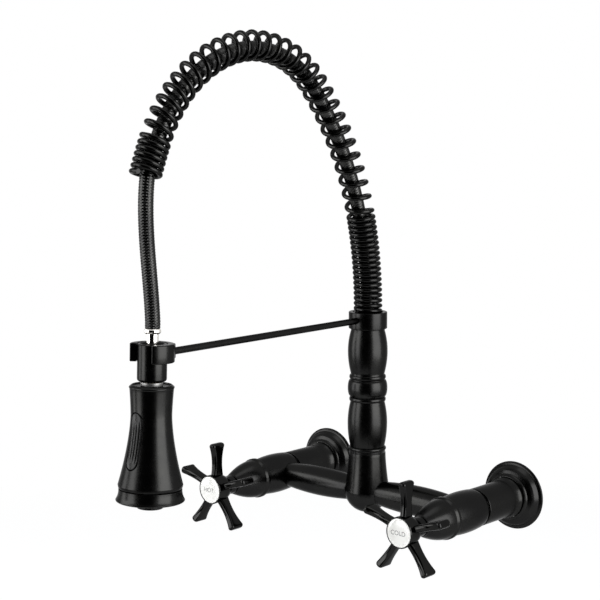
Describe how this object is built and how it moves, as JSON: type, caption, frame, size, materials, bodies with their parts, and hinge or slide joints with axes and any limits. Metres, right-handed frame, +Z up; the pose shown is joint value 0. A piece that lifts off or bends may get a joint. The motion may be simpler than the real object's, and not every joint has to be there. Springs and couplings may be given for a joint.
{
  "type": "pre-rinse faucet",
  "caption": "Wall-mounted bridge faucet with two spoked handles, a turned swivelling riser, a sprung hose arch and a docked pull-down spray head.",
  "frame": {"origin": "on the wall plane, midway between the two inlets, at the height of the inlets", "axes": "+X to the right for a user who faces the wall, +Y into the wall, +Z up"},
  "size_m": [0.2794, 0.3609, 0.4153],
  "materials": {
    "black": "satin",
    "gloss_black": "semi-gloss",
    "bright_metal": "polished",
    "satin_metal": "satin",
    "brass": "machined",
    "steel": "machined",
    "rubber": "matt",
    "hose_braid": "braided nylon",
    "porcelain": "glazed",
    "disc_ceramic": "lapped",
    "plastic": "moulded",
    "black_plastic": "moulded"
  },
  "bodies": {
    "bridge": {"hot_wall_flange": "black", "cold_wall_flange": "black", "hot_tailpiece": "brass", "cold_tailpiece": "brass", "hot_union_nut": "black", "cold_union_nut": "black", "hot_union_washer": "rubber", "cold_union_washer": "rubber", "hot_seat_seal": "rubber", "cold_seat_seal": "rubber", "hot_fixed_disc": "disc_ceramic", "cold_fixed_disc": "disc_ceramic", "hot_cartridge": "brass", "cold_cartridge": "brass", "hot_cartridge_ring": "rubber", "cold_cartridge_ring": "rubber", "hot_bonnet": "black", "cold_bonnet": "black", "bridge_body": "black", "swivel_washer": "black_plastic", "spout_screw": "steel"},
    "hot_tap": {"hot_handle": "gloss_black", "hot_stem": "brass", "hot_turning_disc": "disc_ceramic", "hot_handle_screw": "steel", "hot_button": "porcelain"},
    "cold_tap": {"cold_handle": "gloss_black", "cold_stem": "brass", "cold_turning_disc": "disc_ceramic", "cold_handle_screw": "steel", "cold_button": "porcelain"},
    "spout": {"riser": "black", "spigot_rings": "rubber", "arm_collar": "black", "collar_screw": "steel", "hose_adapter": "brass", "support_rod": "black", "holder_clip": "black", "clip_screw": "steel", "arch_spring": "black", "arch_hose": "hose_braid", "free_hose": "hose_braid"},
    "spray_neck": {"hose_tailstock": "bright_metal", "swivel_nut": "black", "hose_washer": "rubber", "lock_ring": "brass"},
    "spray_head": {"swivel_stud": "satin_metal", "stud_ring": "rubber", "check_valve": "plastic", "head_shell": "black", "head_core": "plastic", "rocker_pin": "steel", "face_ring": "black", "face_seal": "rubber", "spray_face": "rubber", "outlet": "black_plastic", "outlet_screen": "steel"},
    "mode_rocker": {"rocker": "black_plastic"},
    "diverter": {"diverter_spool": "plastic"}
  },
  "joints": [
    {"name": "hot_handle_turn", "type": "hinge", "parent": "bridge", "child": "hot_tap", "pos_m": [-0.1016, 0, 0], "axis": [0, -1, 0], "range_deg": [0, 90]},
    {"name": "cold_handle_turn", "type": "hinge", "parent": "bridge", "child": "cold_tap", "pos_m": [0.1016, 0, 0], "axis": [0, 1, 0], "range_deg": [0, 90]},
    {"name": "spout_swivel", "type": "hinge", "parent": "bridge", "child": "spout", "pos_m": [0, -0.071, 0], "axis": [0, 0, 1], "range_deg": [-90, 90]},
    {"name": "spray_undock", "type": "slide", "parent": "spout", "child": "spray_neck", "axis": [0, -0.0349, -0.9994], "range_m": [0, 0.03]},
    {"name": "head_spin", "type": "hinge", "parent": "spray_neck", "child": "spray_head", "pos_m": [0, -0.3179, 0.147], "axis": [0, 0.0349, 0.9994], "continuous": true},
    {"name": "rocker_tilt", "type": "hinge", "parent": "spray_head", "child": "mode_rocker", "pos_m": [0, -0.33355, 0.08611], "axis": [1, 0, 0], "range_deg": [-3, 3]},
    {"name": "diverter_slide", "type": "slide", "parent": "spray_head", "child": "diverter", "axis": [0, 0.0349, 0.9994], "range_m": [-0.00058, 0.00058]}
  ],
  "couplings": [
    {"joint": "rocker_tilt", "follows": "diverter_slide", "rad_per_m": 89.93}
  ]
}
